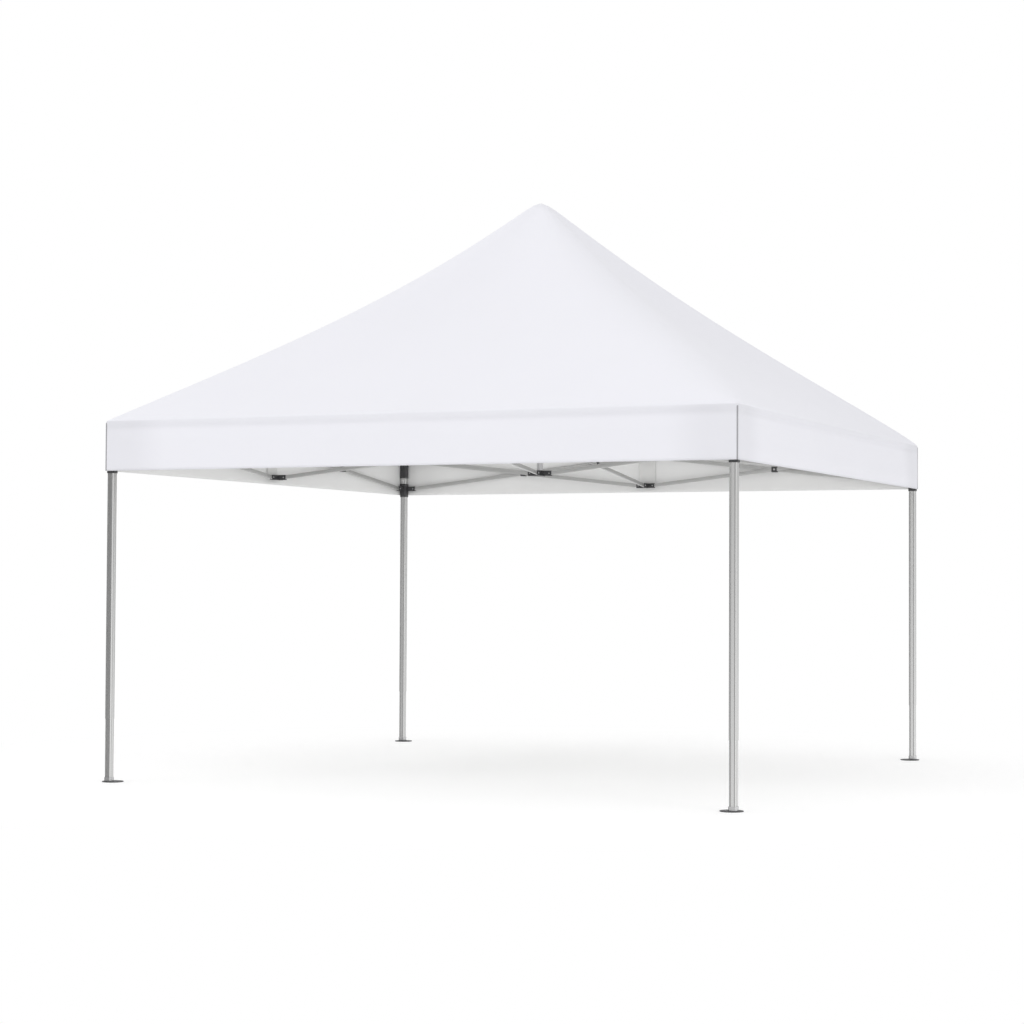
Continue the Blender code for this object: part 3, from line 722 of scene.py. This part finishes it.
def hang_out(side, run, down):
    """How far the valance stands out: its soft folds, the pinch under the eave and the hem's tuck."""
    held_at_joint = math.exp(-(run / JOINT_BUMP_WIDTH) ** 2)
    pinch = ease(down, PINCH_STARTS, PINCH_DEEPEST) * (1 - ease(down, PINCH_DEEPEST, PINCH_ENDS))
    tuck = ease(down, PINCH_ENDS, TUCK_DEEPEST) * (1 - ease(down, TUCK_DEEPEST, 1.0) * TUCK_RETURN)
    place = SIDES[side][0] * ROOF_HALF + SIDES[side][1] * run
    swing = noise.noise(Vector((place.x * SWINGS_PER_METRE, place.y * SWINGS_PER_METRE, down * SWING_DOWN)))
    ripple = noise.noise(Vector((place.x * RIPPLES_PER_METRE + RIPPLE_SHIFT, place.y * RIPPLES_PER_METRE,
                                 down * RIPPLE_DOWN)))
    folds = (FOLD_SIZE * (swing * SWING_SHARE + ripple * RIPPLE_SHARE)
             * math.sin(down * math.pi * FOLD_REACH))
    near_corner = ease(ROOF_HALF - abs(run), 0.0, CORNER_FADE)
    return near_corner * (folds + HEM_TUCK[side] * tuck - EAVE_PINCH * pinch * (1 - held_at_joint))


def lay_threads(shape, place_on_cloth):
    """Maps the weave: each corner of each face gets its place along and down the cloth, in metres."""
    threads_map = shape.loops.layers.uv.new("cloth_map")
    for face in shape.faces:
        middle = face.calc_center_median()
        for loop in face.loops:
            loop[threads_map].uv = place_on_cloth(loop.vert.co, middle)


def on_canopy(point, middle):
    """Place along the eave, and down the roof's slope and the valance."""
    run, out = (point.x, abs(point.y)) if abs(middle.y) > abs(middle.x) else (point.y, abs(point.x))
    return run, out * CUT_PANEL / ROOF_HALF + max(0.0, EAVE - point.z)


CUT_PANEL = math.hypot(ROOF_HALF, PEAK - EAVE)
canopy_shape = bmesh.new()
rim_half = ROOF_HALF - EAVE_TURN
bmesh.ops.create_grid(canopy_shape, x_segments=ROOF_CELLS, y_segments=ROOF_CELLS, size=rim_half)
for vertex in canopy_shape.verts:
    vertex.co.z = canopy_height(vertex.co.x, vertex.co.y)
rim = [edge for edge in canopy_shape.edges if edge.is_boundary]
turn_radius = EAVE_TURN / (1 - math.sin(EAVE_SLOPE))
turn_drop = turn_radius * math.cos(EAVE_SLOPE)
rim_height = canopy_height(rim_half, rim_half)
top_of_fall = rim_height - turn_drop
for row in range(1, EAVE_STEPS + VALANCE_ROWS + 1):
    pulled = bmesh.ops.extrude_edge_only(canopy_shape, edges=rim)
    lower = [item for item in pulled["geom"] if isinstance(item, bmesh.types.BMVert)]
    rim = [item for item in pulled["geom"] if isinstance(item, bmesh.types.BMEdge)
           and item.verts[0] in lower and item.verts[1] in lower]
    turn = EAVE_SLOPE + (math.pi / 2 - EAVE_SLOPE) * min(row, EAVE_STEPS) / EAVE_STEPS
    out = rim_half + turn_radius * (math.sin(turn) - math.sin(EAVE_SLOPE))
    down = (max(0, row - EAVE_STEPS) / VALANCE_ROWS) ** ROWS_CROWD_UP
    level = rim_height - turn_radius * (math.cos(EAVE_SLOPE) - math.cos(turn)) - (top_of_fall - HEM) * down
    for vertex in lower:
        x, y = vertex.co.x, vertex.co.y
        side = ("right" if x > 0 else "left") if abs(x) > abs(y) else ("back" if y > 0 else "front")
        outward, along = SIDES[side]
        run = vertex.co.dot(along)
        rise = canopy_height(*(outward * rim_half + along * run).xy) - rim_height
        at_corner = abs(abs(x) - abs(y)) < SAME_PLACE
        if at_corner:
            run = math.copysign(out, run)
            rise = 0.0
        vertex.co = outward * (out + hang_out(side, run, down)) + along * run
        vertex.co.z = level + rise * (1 - down)
bmesh.ops.recalc_face_normals(canopy_shape, faces=canopy_shape.faces)
lay_threads(canopy_shape, on_canopy)
white_cloth = coated_cloth("roof_fabric", colour=(0.875, 0.875, 0.925))
grey_backing = coated_cloth("roof_backing", colour=(0.88, 0.88, 0.875))
cloth_nodes = [kind + side for kind in ("roof_panel_", "valance_") for side in SIDES] + ["peak_patch"]
canopy = make_piece("canopy", canopy_shape, white_cloth, stands_for=cloth_nodes,
                    smooth_up_to=50)
canopy.data.materials.append(grey_backing)
thickness = canopy.modifiers.new("thickness", "SOLIDIFY")
thickness.thickness = CLOTH
thickness.offset = -1.0
thickness.material_offset = 1

# Corner bindings. A grey tape bound over the seam at each corner of the
# valance, from the eave to the hem, with its two edges stitched down.
BINDING_HALF = 0.0065
BINDING_PROUD = 0.0012
BINDING_SHOULDER = 0.8
BINDING_LIFT = 0.0002
BINDING_SUNK = 0.0004
binding_tape = coated_cloth("binding_tape", colour=(0.40, 0.40, 0.42))
for corner_name, (right, back) in CORNERS.items():
    corner = Vector((right * ROOF_HALF, back * ROOF_HALF, 0.0))
    outward = Vector((right, back, 0.0)).normalized()
    to_right, to_back = Vector((right, 0, 0)), Vector((0, back, 0))
    tape = [corner - to_right * BINDING_HALF + to_back * BINDING_LIFT,
            corner - to_right * BINDING_HALF * BINDING_SHOULDER + to_back * BINDING_PROUD,
            corner + outward * BINDING_PROUD * DIAGONAL,
            corner - to_back * BINDING_HALF * BINDING_SHOULDER + to_right * BINDING_PROUD,
            corner - to_back * BINDING_HALF + to_right * BINDING_LIFT,
            corner - outward * BINDING_SUNK]
    binding = bmesh.new()
    section = [binding.verts.new((point.x, point.y, HEM)) for point in tape]
    end = binding.faces.new(section)
    pulled = bmesh.ops.extrude_face_region(binding, geom=[end])
    raised = [item for item in pulled["geom"] if isinstance(item, bmesh.types.BMVert)]
    bmesh.ops.translate(binding, verts=raised, vec=(0, 0, top_of_fall - HEM))
    bmesh.ops.recalc_face_normals(binding, faces=binding.faces)
    lay_threads(binding, lambda point, middle: (point.z, (point.xy - corner.xy).length))
    make_piece("corner_binding_" + corner_name, binding, binding_tape,
                               smooth_up_to=50)

# Straps. A band of the same cloth at the middle of each side, sewn in under
# the eave, which hangs outside the two middle joints and is closed under them.
STRAP_WIDTH = 0.130
STRAP_THICKNESS = 0.0008
STRAP_CELLS = (12, 20)
STRAP_BEHIND_VALANCE = 0.0050
STRAP_UNDER_EAVE = 0.030
STRAP_OVER_JOINT_FOOT = 0.004
STRAP_SWAY = 0.0008
SWAY_DOWN = 9.0
SWAY_ACROSS = 3.0
STRAP_OUT = ROOF_HALF - STRAP_BEHIND_VALANCE
STRAP_TOP = EAVE - STRAP_UNDER_EAVE
STRAP_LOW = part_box("lower_joint_front")[0].z + STRAP_OVER_JOINT_FOOT
strap_cloth = coated_cloth("strap_cloth", colour=(0.80, 0.80, 0.79))
for side, (outward, along) in SIDES.items():
    strap_shape = bmesh.new()
    bmesh.ops.create_grid(strap_shape, x_segments=STRAP_CELLS[0], y_segments=STRAP_CELLS[1], size=0.5)
    for vertex in strap_shape.verts:
        run, share = vertex.co.x * STRAP_WIDTH, vertex.co.y + 0.5
        sway = STRAP_SWAY * math.sin(share * SWAY_DOWN) * math.cos(run / STRAP_WIDTH * SWAY_ACROSS)
        vertex.co = outward * (STRAP_OUT + sway) + along * run
        vertex.co.z = STRAP_LOW + (STRAP_TOP - STRAP_LOW) * share
    lay_threads(strap_shape, lambda point, middle: (point.dot(along), point.z))
    strap = make_piece("strap_" + side, strap_shape, strap_cloth, smooth_up_to=50)
    strap_wall = strap.modifiers.new("thickness", "SOLIDIFY")
    strap_wall.thickness = STRAP_THICKNESS
    strap_wall.offset = 0.0

# Slider buttons. Each slider locks on the leg with a steel spring button, which
# stands in a short bushing between the slider and the bracket above it.
BUTTON_RADIUS = 0.006
BUTTON_PROUD = 0.004
BUTTON_SEGMENTS = (24, 12)
BUSHING_RADIUS = 0.009
BUSHING_TAPER = 0.9
BUSHING_PROUD = 0.0015
BUSHING_SEGMENTS = 32
slider_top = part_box("slider_front_left")[1].z
bracket_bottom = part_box("top_bracket_front_left")[0].z
BUTTON_Z = (slider_top + bracket_bottom) / 2
button_steel = drawn_aluminium("button_steel", colour=(0.75, 0.75, 0.75), roughness=0.22,
                               stretch=(200, 200, 200))
for corner_name, (right, back) in CORNERS.items():
    button = bmesh.new()
    inward = Vector((0.0, -back, 0.0))
    turn = inward.to_track_quat("Z", "Y").to_matrix().to_4x4()
    foot_of_button = Vector((right * LEG_AXIS, back * (LEG_AXIS - LEG_HALF), BUTTON_Z))
    bmesh.ops.create_cone(button, cap_ends=True, segments=BUSHING_SEGMENTS, radius1=BUSHING_RADIUS,
                          radius2=BUSHING_RADIUS * BUSHING_TAPER, depth=BUSHING_PROUD,
                          matrix=Matrix.Translation((0, 0, BUSHING_PROUD / 2)))
    dome = bmesh.ops.create_uvsphere(button, u_segments=BUTTON_SEGMENTS[0], v_segments=BUTTON_SEGMENTS[1],
                                     radius=BUTTON_RADIUS,
                                     matrix=Matrix.Diagonal((1, 1, BUTTON_PROUD / BUTTON_RADIUS, 1)))
    below = [vertex for vertex in dome["verts"] if vertex.co.z < -SAME_PLACE]
    bmesh.ops.delete(button, geom=below, context="VERTS")
    button.transform(Matrix.Translation(foot_of_button) @ turn)
    make_piece("slider_button_" + corner_name, button, button_steel, smooth_up_to=40)
